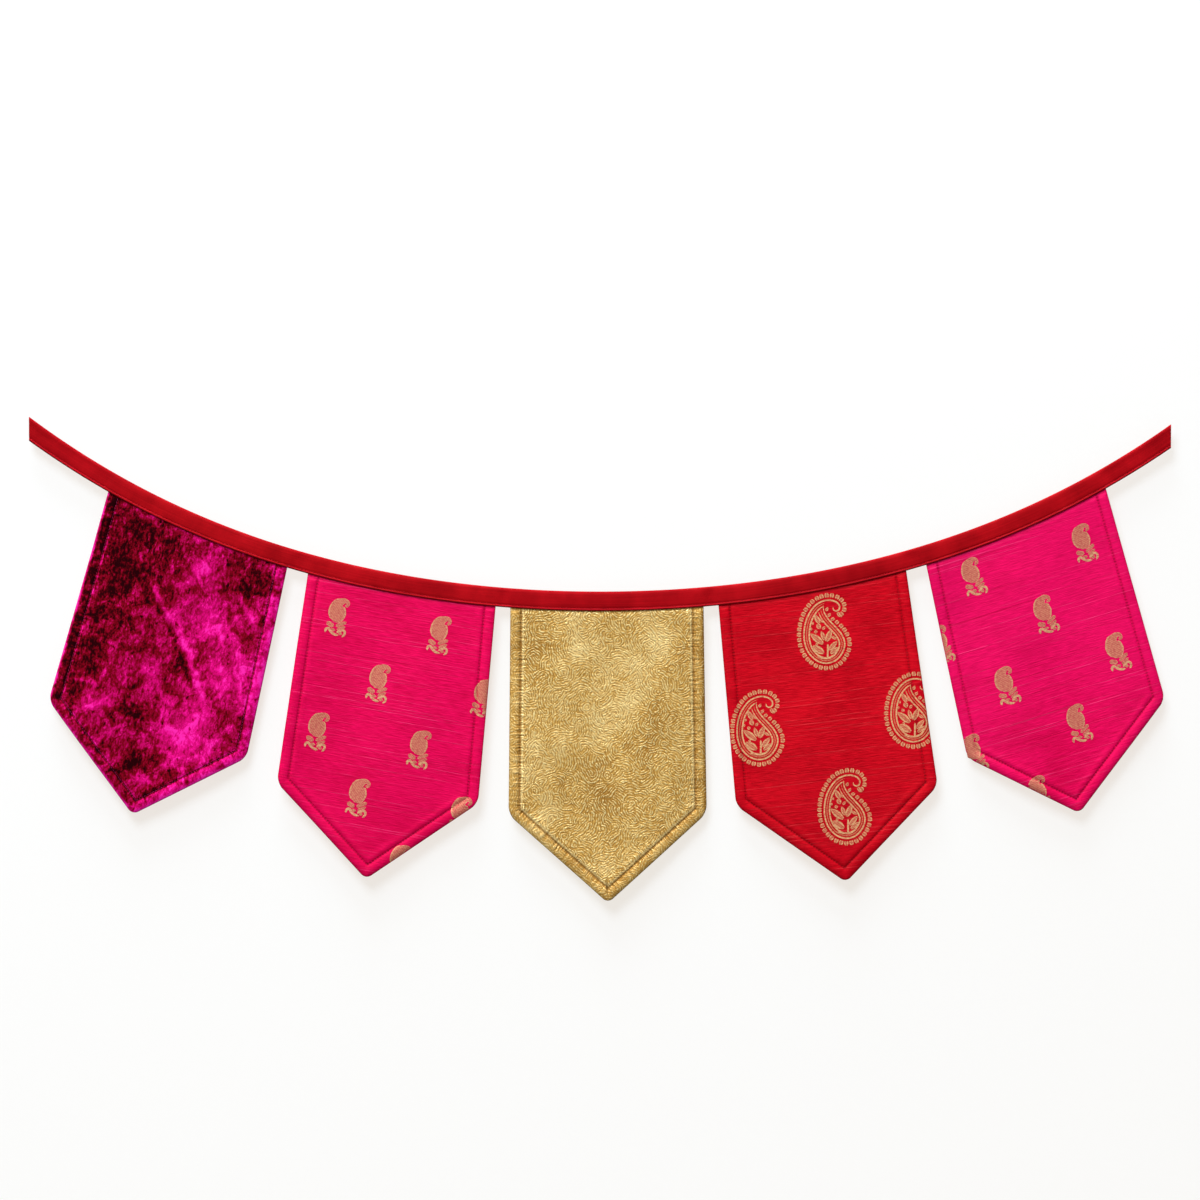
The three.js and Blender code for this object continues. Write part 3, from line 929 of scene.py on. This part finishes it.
# Stitches are short threads whose ends sink into the cloth, copied from one and then placed.
def makeStitches(name, ends, slot):
    bm = bmesh.new()
    bmesh.ops.create_uvsphere(bm, u_segments=5, v_segments=4, radius=0.5)
    each = len(bm.verts)
    while len(bm.verts) < each * len(ends):
        bmesh.ops.duplicate(bm, geom=everything(bm))
    bmesh.ops.delete(bm, geom=bm.verts[each * len(ends):], context="VERTS")
    verts = bm.verts[:]
    for number, (start, end, side) in enumerate(ends):
        along = (end - start).normalized()
        out = Vector((0, side, 0))
        across = out.cross(along).normalized()
        middle = (start + end) / 2
        for vert in verts[number * each:(number + 1) * each]:
            local = vert.co.copy()
            vert.co = middle + along * local.z * stitch["length"]
            vert.co += (across * local.x + along.cross(across) * local.y) * stitch["thick"]
    for face in bm.faces:
        face.smooth = True
    return finish(bm, name, sewing[slot])


stitch = {
    "length": 2.15 * mm, "thick": 0.55 * mm, "proud": 0.06 * mm,
    "fromTape": 0.5 * mm, "clear": 0.3 * mm,
}


def seamCorners(flag):
    lines = []
    for a, b in flag["sides"]:
        along = (b - a).normalized()
        lines.append((a + Vector((-along.y, along.x)) * margin, along))
    corners = [crossing(*lines[k], *lines[k + 1]) for k in range(len(lines) - 1)]
    first, last = lines[0], lines[-1]
    start = first[0] + first[1] * stitch["fromTape"]
    end = flag["sides"][-1][1] + (last[0] - flag["sides"][-1][0]) - last[1] * stitch["fromTape"]
    return [start] + corners + [end]


def makeFlagStitches(name, flag):
    stitches = []
    corners = seamCorners(flag)
    for a, b in zip(corners[:-1], corners[1:]):
        count = round((b - a).length / stitchPitch)
        for number in range(count):
            ends = [a.lerp(b, (number + 0.5 + shift) / count) for shift in (-0.44, 0.44)]
            if min(depthOf(end) for end in ends) < stitch["clear"]:
                continue
            for side in (-1, 1):
                stands = []
                for end in ends:
                    middle, half = clothAt(flag, end)[:2]
                    stands.append(Vector((end.x, middle + side * (half + stitch["proud"]), end.y)))
                stitches.append((*stands, side))
    return makeStitches(name, stitches, flag["slot"])


for flag in flags.values():
    measure(flag)

for key, flag in flags.items():
    piece = makeFlag("cloth_" + key, flag)
    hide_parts(flag["node"])
    stitches = makeFlagStitches("stitches_" + key, flag)
    flag["pieces"] = [stitches]
    flag["cloth"] = piece
print("flags made")

# The band: a tape folded over the flags, its section given as front half, down and out.
tape = {
    "step": 2.0 * mm,
    "stitchUp": 1.95 * mm,
    "pinch": 0.84 * mm,
    "fray": 6 * mm,
    "mouth": 1 * mm,
    "slack": 0.1 * mm,
    "slackAlong": 17 * mm,
    "slackDown": 9,
    "over": 1 * mm,
    "slope": 1.1,  # length along the tape to length along the span, at most
    "sag": 1.075,  # and over the whole tape
    "stitchOut": 1.42,
    "stitchStart": 1.5 * mm,
    "bare": 0.6 * mm,  # no stitch reaches this close to an end
    "lights": {"edge": (13.7, 0.4), "fold": (0.3, 0.8)},  # where down the tape, and how wide
    "outside": [(0, 0), (0.12, 0.75), (0.6, 1.4), (1.4, 1.8), (2.8, 2.0), (5, 2.05), (8, 2.0), (11, 1.92),
                (12.3, 1.8), (12.9, 1.66), (13.3, 1.36), (13.5, 1.3), (13.8, 1.5), (14.2, 1.92),
                (14.7, 2.02), (15.1, 1.9), (15.36, 1.5)],
    "inside": [(15.4, 1.2), (15.2, 0.98), (14.4, 0.9), (11.5, 0.9), (8.5, 0.9), (6.8, 0.84),
               (6.3, 0.5), (6.2, 0)],
}


def closedAt(x):
    opened = 0
    for flag in flags.values():
        inside = smooth(flag["startX"] - tape["fray"], flag["startX"] + tape["mouth"], x)
        inside *= 1 - smooth(flag["endX"] - tape["mouth"], flag["endX"] + tape["fray"], x)
        opened = max(opened, inside)
    return 1 - opened


def tapePoint(x, down, out):
    pinch = closedAt(x) * tape["pinch"] * smooth(0, 5, down)
    slack = tape["slack"] * noise.noise(Vector((x / tape["slackAlong"], down / tape["slackDown"], out)))
    side = -1 if out > 0 else 1
    stand = abs(out) * mm - min(pinch, abs(out) * mm)
    if abs(out) > 1:
        stand += slack * smooth(0, 2, down)
    place = onTape(x, down * mm)
    return Vector((place.x, side * stand, place.y))


def makeBand():
    half = tape["outside"] + tape["inside"]
    mirrored = [(down, -out) for down, out in reversed(half[1:-1])]
    section = half + mirrored
    start, end = -tape["over"], 2 * swag["reach"] + tape["over"]
    steps = math.ceil((end - start) * tape["slope"] / tape["step"])
    bm = bmesh.new()
    layers = newLayers(bm)
    bmesh.ops.create_grid(bm, x_segments=steps, y_segments=len(section), size=0.5)
    around = [0]
    for a, b in zip(section, section[1:] + section[:1]):
        around.append(around[-1] + math.hypot(b[0] - a[0], b[1] - a[1]) * mm)
    for vert in bm.verts:
        x = blendOf(start, end, vert.co.x + 0.5)
        number = round((vert.co.y + 0.5) * len(section))
        down, out = section[number % len(section)]
        vert.co = tapePoint(x, down, out)
        edge, fold = (hump(down - spot, wide) for spot, wide in tape["lights"].values())
        bright = edge * (abs(out) > 1) + 0.25 * fold
        fillLayers(vert, layers, x, down * mm, bright, x * tape["slope"], around[number])
    bmesh.ops.remove_doubles(bm, verts=bm.verts, dist=weld)
    for side, edgeX in ((-1, 0), (1, 2 * swag["reach"])):
        cut = bmesh.ops.bisect_plane(bm, geom=everything(bm), plane_co=(edgeX, 0, 0),
                                     plane_no=(side, 0, 0), clear_outer=True)
        edges = [item for item in cut["geom_cut"] if isinstance(item, bmesh.types.BMEdge)]
        bmesh.ops.edgenet_fill(bm, edges=edges)
    bmesh.ops.recalc_face_normals(bm, faces=bm.faces)
    for face in bm.faces:
        face.smooth = len(face.verts) < 5
    addUv(bm, lambda vert: (vert[layers[3]], vert[layers[4]]))
    return finish(bm, "band_tape", materials["band_cotton"])


def makeBandStitches():
    stitches = []
    down = tapeWidth / mm - tape["stitchUp"] / mm
    x = tape["stitchStart"]
    while x < 2 * (swag["reach"] - tape["stitchStart"]):
        step = stitchPitch / math.hypot(1, swagSlope(x))
        for side in (-1, 1):
            out = Vector((0, side * stitch["proud"], 0))
            front = -side * tape["stitchOut"]
            ends = [tapePoint(x + share * step, down, front) + out for share in (0.06, 0.94)]
            if ends[0].x > tape["bare"] and ends[1].x < 2 * swag["reach"] - tape["bare"]:
                stitches.append((*ends, side))
        x += step
    return makeStitches("stitches_band", stitches, "band_cotton")


band = makeBand()
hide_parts("band")
bandStitches = makeBandStitches()
print("band made")

# Woven motifs, charted in millimetres about each motif's own middle, where the weft rises
# to the right by the angle drawnAt. A leaf is its root, its tip and its width, and a stroke is its
# path and its width.
buta = {
    "drawnAt": -10,
    "reach": 18,
    "body": [(-1.8, -4.2), (-1.1, -2.0), (-0.6, 2.2), (-0.4, 6.4), (0.3, 9.9), (2.6, 11.7), (5.9, 12.6),
             (8.2, 10.8), (7.3, 8.3), (5.7, 9.1)],
    "bodyWidths": [3.6, 10.4, 14.0, 13.4, 9.6, 5.8, 3.5, 2.6, 2.0, 1.1],
    "bluntLeaves": [
        ((-3.4, -7.6), (-8.8, -4.0), 3.4), ((-1.7, -7.3), (6.7, -4.3), 2.6),
        ((-1.0, -10.0), (5.8, -7.9), 2.1)],
    "leaves": [((-5.6, -9.6), (-2.0, -10.8), 2.2), ((0.6, -12.3), (3.0, -14.0), 2.6)],
    "strokes": [
        ([(-10.0, -12.0), (-9.5, -9.6), (-7.4, -8.8), (-5.6, -11.6), (-3.2, -13.6), (0.2, -14.6)], 1.9),
        ([(-1.0, -12.6), (0.6, -11.4), (3.2, -10.6), (5.2, -11.4), (5.1, -14.0), (3.0, -16.0)], 1.8)],
}
paisley = {
    "drawnAt": 6.6,
    "reach": 34,
    "outline": [(7.0, 19.6), (7.4, 17.6), (9.6, 16.6), (11.8, 18.0), (12.0, 21.0), (9.4, 23.8), (4.4, 25.2),
                (-1.0, 24.4), (-6.4, 21.4), (-11.0, 15.8), (-14.2, 9.0), (-15.8, 0.4), (-15.4, -8.0),
                (-12.4, -16.0), (-6.0, -22.4), (2.0, -24.6), (9.6, -22.0), (14.8, -15.4), (16.2, -8.4),
                (13.6, -1.6), (8.4, 4.6), (3.4, 10.0), (0.0, 15.6), (-0.8, 21.0)],
    "lines": [  # from and to as shares of the outline, inward of it, width, rim
        (0.0, 1.0, 0.0, 1.2, 1), (0.3, 0.98, 2.05, 0.8, 0), (0.31, 0.965, 4.1, 1.2, 1)],
    "beads": {"from": 0.115, "to": 0.97, "outward": 2.3, "length": 3.3, "width": 3.2, "spacing": 4.2,
              "shrink": 0.35, "shrinkAt": (0.84, 0.93)},
    "bluntLeaves": [],
    "leaves": [
        ((-0.4, -16.6), (-9.0, -11.0), 5.4), ((-6.6, -10.6), (-5.0, -8.8), 2.0),
        ((4.0, -14.2), (10.2, -7.2), 3.8), ((5.0, -17.0), (11.0, -12.0), 3.2),
        ((-1.0, -9.2), (-10.8, -1.4), 5.0), ((0.2, -6.4), (-2.2, 0.6), 3.2),
        ((1.8, -7.4), (5.6, 1.8), 4.4), ((5.6, -3.2), (9.8, -5.8), 2.2),
        ((-6.2, -1.0), (-7.0, 1.6), 2.6), ((-5.2, 6.4), (-3.4, 2.4), 3.8),
        ((-1.4, 2.0), (0.8, 4.4), 2.2), ((-3.8, 6.8), (-7.2, 13.6), 3.8),
        ((-10.4, 1.2), (-9.8, 3.4), 1.5), ((-9.2, 5.6), (-8.6, 7.8), 1.5),
        ((-1.4, 7.4), (-2.6, 11.4), 1.9), ((1.4, 16.6), (3.0, 19.6), 2.1),
        ((3.2, 12.0), (5.0, 15.0), 2.1), ((5.4, 9.2), (7.4, 11.6), 2.1),
        ((10.4, 15.4), (13.9, 12.0), 3.2)],
    "strokes": [
        ([(2.7, -20.6), (2.9, -15.0), (2.9, -9.4)], 1.4),
        ([(-5.6, -19.4), (-1.0, -20.7), (4.6, -20.6), (9.6, -17.4)], 0.9)],
}
weaving = {
    "cell": 1.25, "sunk": 0.1 * mm, "proud": 0.1 * mm, "layer": 0.006,
    "fromEdge": 0.45 * mm, "fromTape": 0.4 * mm,
}


def curveAt(points, share):
    spot = min(max(share, 0), 1) * (len(points) - 1)
    index = min(int(spot), len(points) - 2)
    t = spot - index
    p1, p2 = Vector(points[index]), Vector(points[index + 1])
    p0 = Vector(points[index - 1]) if index > 0 else 2 * p1 - p2
    p3 = Vector(points[index + 2]) if index + 2 < len(points) else 2 * p2 - p1
    place = 0.5 * (2 * p1 + (p2 - p0) * t + (2 * p0 - 5 * p1 + 4 * p2 - p3) * t ** 2
                   + (3 * p1 - p0 - 3 * p2 + p3) * t ** 3)
    along = 0.5 * ((p2 - p0) + 2 * (2 * p0 - 5 * p1 + 4 * p2 - p3) * t
                   + 3 * (3 * p1 - p0 - 3 * p2 + p3) * t ** 2)
    return place, along.normalized()


def lengthOf(points, start=0.0, end=1.0):
    places = [curveAt(points, blendOf(start, end, k / 40))[0] for k in range(41)]
    return sum((b - a).length for a, b in zip(places, places[1:]))


def besideCurve(points, share, outward):
    place, along = curveAt(points, share)
    return place + Vector((along.y, -along.x)) * outward


# Shares of a curve whose places beside it lie an even distance apart.
def evenShares(points, start, end, spacing, outward):
    shares = [blendOf(start, end, k / 400) for k in range(401)]
    places = [besideCurve(points, share, outward) for share in shares]
    run = [0]
    for a, b in zip(places, places[1:]):
        run.append(run[-1] + (b - a).length)
    count = round(run[-1] / spacing)
    marks = [run[-1] * number / count for number in range(count + 1)]
    return [shares[next(k for k in range(401) if run[k] >= mark)] for mark in marks]


def plainWidth(width):
    return lambda share: width * math.sqrt(max(1 - abs(2 * share - 1) ** 8, 0.02))


def leafWidth(width):
    return lambda share: width * max(math.sin(math.pi * min(share * 0.92 + 0.08, 1)), 0.06) ** 0.75


def ribbon(bm, points, widthAt, widest, start=0.0, end=1.0, shift=0.0, rim=None):
    steps = max(math.ceil(lengthOf(points, start, end) / weaving["cell"]), 3)
    across = max(math.ceil(widest / weaving["cell"]), 1)
    lift = weaving["layer"] * (len(bm.verts) % 17)  # overlapping strokes never share a height
    layer = bm.verts.layers.float["rim"]
    made = bmesh.ops.create_grid(bm, x_segments=steps, y_segments=across, size=0.5)
    for vert in made["verts"]:
        share = vert.co.x + 0.5
        place, along = curveAt(points, blendOf(start, end, share))
        normal = Vector((-along.y, along.x))
        flat = place + normal * (shift + vert.co.y * widthAt(share))
        vert[layer] = abs(vert.co.y) * 2 if rim is None else rim
        vert.co = (flat.x, flat.y, lift)


def widthTable(widths):
    def widthAt(share):
        spot = share * (len(widths) - 1)
        index = min(int(spot), len(widths) - 2)
        return blendOf(widths[index], widths[index + 1], spot - index)
    return widthAt


def drawStrokes(bm, chart):
    for part, widthAt in (("bluntLeaves", plainWidth), ("leaves", leafWidth)):
        for root, tip, width in chart[part]:
            ribbon(bm, [root, tip], widthAt(width), width)
    for path, width in chart["strokes"]:
        ribbon(bm, path, plainWidth(width), width, rim=1)


def drawButa(bm):
    ribbon(bm, buta["body"], widthTable(buta["bodyWidths"]), max(buta["bodyWidths"]))
    drawStrokes(bm, buta)


def drawPaisley(bm):
    outline = paisley["outline"]
    for start, end, inward, width, rim in paisley["lines"]:
        ribbon(bm, outline, plainWidth(width), width, start, end, inward, rim)
    beads = paisley["beads"]
    middle = beads["outward"] + beads["length"] / 2
    for share in evenShares(outline, beads["from"], beads["to"], beads["spacing"], middle):
        place = besideCurve(outline, share, 0)
        outward = (besideCurve(outline, share, 1) - place).normalized()
        size = 1 - beads["shrink"] * smooth(*beads["shrinkAt"], share)
        root = place + outward * beads["outward"] * size
        widths = [beads["width"] * size * part for part in (0.8, 1, 1, 0.6)]
        ribbon(bm, [root, root + outward * beads["length"] * size], widthTable(widths), beads["width"])
    drawStrokes(bm, paisley)


charts = {"buta": (drawButa, buta), "paisley": (drawPaisley, paisley)}


# Rows of a half-drop repeat. The rolled edge of one side carries its motifs a little further in.
def motifPlaces(flag):
    motif = flag["motif"]
    turn = math.radians(flag["grain"])
    along = Vector((math.cos(turn), math.sin(turn))) * motif["along"] * mm
    drop = Vector((math.sin(turn), -math.cos(turn))) * motif["drop"] * mm
    first = fromMiddle(*motif["first"])
    reach = charts[motif["kind"]][1]["reach"] * mm
    places = []
    for row in range(-2, 6):
        for column in range(-3, 4):
            place = first + drop * row / 2 + along * (column + (row % 2) / 2)
            if insetsOf(flag, place)[motif["side"]] < margin:
                place += Vector(motif["nudge"]) * mm
            if min(insetsOf(flag, place)) > -reach and depthOf(place) > -reach:
                places.append(place)
    return places


def cutAway(bm, point, outward):
    bmesh.ops.bisect_plane(bm, geom=everything(bm), plane_co=(point.x, point.y, 0),
                           plane_no=(outward.x, outward.y, 0), clear_outer=True)


def motifMesh(kind):
    bm = bmesh.new()
    bm.verts.layers.float.new("rim")
    charts[kind][0](bm)
    mesh = bpy.data.meshes.new(kind)
    bm.to_mesh(mesh)
    bm.free()
    return mesh


def makeMotifs(name, flag):
    kind = flag["motif"]["kind"]
    drawn = motifMesh(kind)
    joined = bmesh.new()
    turn = Matrix.Rotation(math.radians(flag["grain"] - charts[kind][1]["drawnAt"]), 4, "Z")
    for place in motifPlaces(flag):
        for side in (-1, 1):
            bm = bmesh.new()
            bm.from_mesh(drawn)
            centre = Vector((place.x, place.y, 0))
            placed = Matrix.Translation(centre) @ turn @ Matrix.Scale(mm, 4)
            bmesh.ops.transform(bm, verts=bm.verts, matrix=placed)
            for a, b in flag["sides"]:
                along = (b - a).normalized()
                inward = Vector((-along.y, along.x))
                cutAway(bm, a + inward * weaving["fromEdge"], -inward)
            up = Vector((-swagSlope(place.x), 1)).normalized()
            cutAway(bm, onTape(place.x, tapeWidth + weaving["fromTape"]), up)
            if bm.faces:
                raiseCut(bm, flag, side)
                passing = bpy.data.meshes.new("passing")
                bm.to_mesh(passing)
                joined.from_mesh(passing)
                bpy.data.meshes.remove(passing)
            bm.free()
    bpy.data.meshes.remove(drawn)
    addUv(joined, lambda vert: clothUv(flag, vert.co.xz))
    return finish(joined, name, zari[flag["slot"]])


# A flat cut-out becomes a thin closed layer that follows the cloth.
def raiseCut(bm, flag, side):
    raised = bmesh.ops.extrude_face_region(bm, geom=bm.faces[:])
    tops = {item for item in raised["geom"] if isinstance(item, bmesh.types.BMVert)}
    for vert in bm.verts:
        flat = Vector((vert.co.x, vert.co.y))
        middle, half = clothAt(flag, flat)[:2]
        level = weaving["proud"] + vert.co.z if vert in tops else -weaving["sunk"]
        vert.co = (flat.x, middle + side * (half + level), flat.y)
    bmesh.ops.recalc_face_normals(bm, faces=bm.faces)


for key, flag in flags.items():
    if "motif" in flag:
        flag["pieces"].append(makeMotifs("motifs_" + key, flag))
print("motifs made")

# Stage: a white wall close behind and a pale floor, seen only from their front. To the camera
# they glow like a lit studio sweep, which keeps the shadows on them light.
stage = {
    "wall": {"glow": (0.78, 0.73, 0.67, 1), "grey": (0.2, 0.25, 0.3, 1)},
    "floor": {"glow": (0.62, 0.6, 0.58, 1), "grey": (0.2, 0.2, 0.2, 1)},
    "wallBehind": 10 * mm,
    "middleDrop": 0.2,
    "floorDrop": 1.1,
    "size": 14,
    "skyLight": 0.26,
    "skySeen": 0.98,
}


def stageMaterial(name):
    material, tree, shader = newMaterial(name + "Paper")
    clear = addNode(tree, "ShaderNodeBsdfTransparent")
    back = addNode(tree, "ShaderNodeNewGeometry").outputs["Backfacing"]
    path = addNode(tree, "ShaderNodeLightPath").outputs
    setShader(tree, shader, Base_Color=stage[name]["grey"], Roughness=0.9, Specular_IOR_Level=0.0,
              Emission_Color=stage[name]["glow"], Emission_Strength=path["Is Camera Ray"])
    mix = addNode(tree, "ShaderNodeMixShader", Fac=calc(tree, "MAXIMUM", back, path["Is Shadow Ray"]))
    feed(tree, mix.inputs[1], shader.outputs["BSDF"])
    feed(tree, mix.inputs[2], clear.outputs["BSDF"])
    output = next(node for node in tree.nodes if node.type == "OUTPUT_MATERIAL")
    feed(tree, output.inputs["Surface"], mix.outputs["Shader"])
    return material


def stagePlane(name, back, drop, tilt):
    bm = bmesh.new()
    place = Matrix.Translation((swag["reach"], back, -drop)) @ Matrix.Rotation(math.radians(tilt), 4, "X")
    bmesh.ops.create_grid(bm, x_segments=1, y_segments=1, size=stage["size"] / 2, matrix=place)
    newPiece(bm, name, stageMaterial(name))


stagePlane("wall", stage["wallBehind"], stage["middleDrop"], 90)
stagePlane("floor", 0, stage["floorDrop"], 0)

lights = [
    {"name": "key", "at": (-1.2, -3.4, 3.2), "size": 2.0, "power": 205},
    {"name": "top", "at": (-0.5, -1.0, 4.4), "size": 1.8, "power": 200},
    {"name": "back", "at": (-1.2, 2.4, 1.4), "size": 1.8, "power": 45},
]


def makeLight(light):
    data = bpy.data.lights.new(light["name"], "AREA")
    data.size = light["size"]
    data.energy = light["power"]
    lamp = bpy.data.objects.new(light["name"], data)
    aim = Vector((swag["reach"], 0, -stage["middleDrop"]))
    lamp.location = aim + Vector(light["at"])
    lamp.rotation_euler = (aim - lamp.location).to_track_quat("-Z", "Y").to_euler()
    bpy.context.scene.collection.objects.link(lamp)


def makeWorld():
    world = bpy.data.worlds.new("studio")
    bpy.context.scene.world = world
    world.use_nodes = True
    tree = world.node_tree
    tree.nodes.clear()
    path = addNode(tree, "ShaderNodeLightPath").outputs["Is Camera Ray"]
    strength = mapRange(tree, path, 0, 1, stage["skyLight"], stage["skySeen"])
    around = addNode(tree, "ShaderNodeBackground", Color=(1, 1, 1, 1), Strength=strength)
    output = addNode(tree, "ShaderNodeOutputWorld")
    feed(tree, output.inputs["Surface"], around.outputs["Background"])


for light in lights:
    makeLight(light)
makeWorld()
bpy.context.scene.view_settings.view_transform = "Standard"
print("stage and lights made")
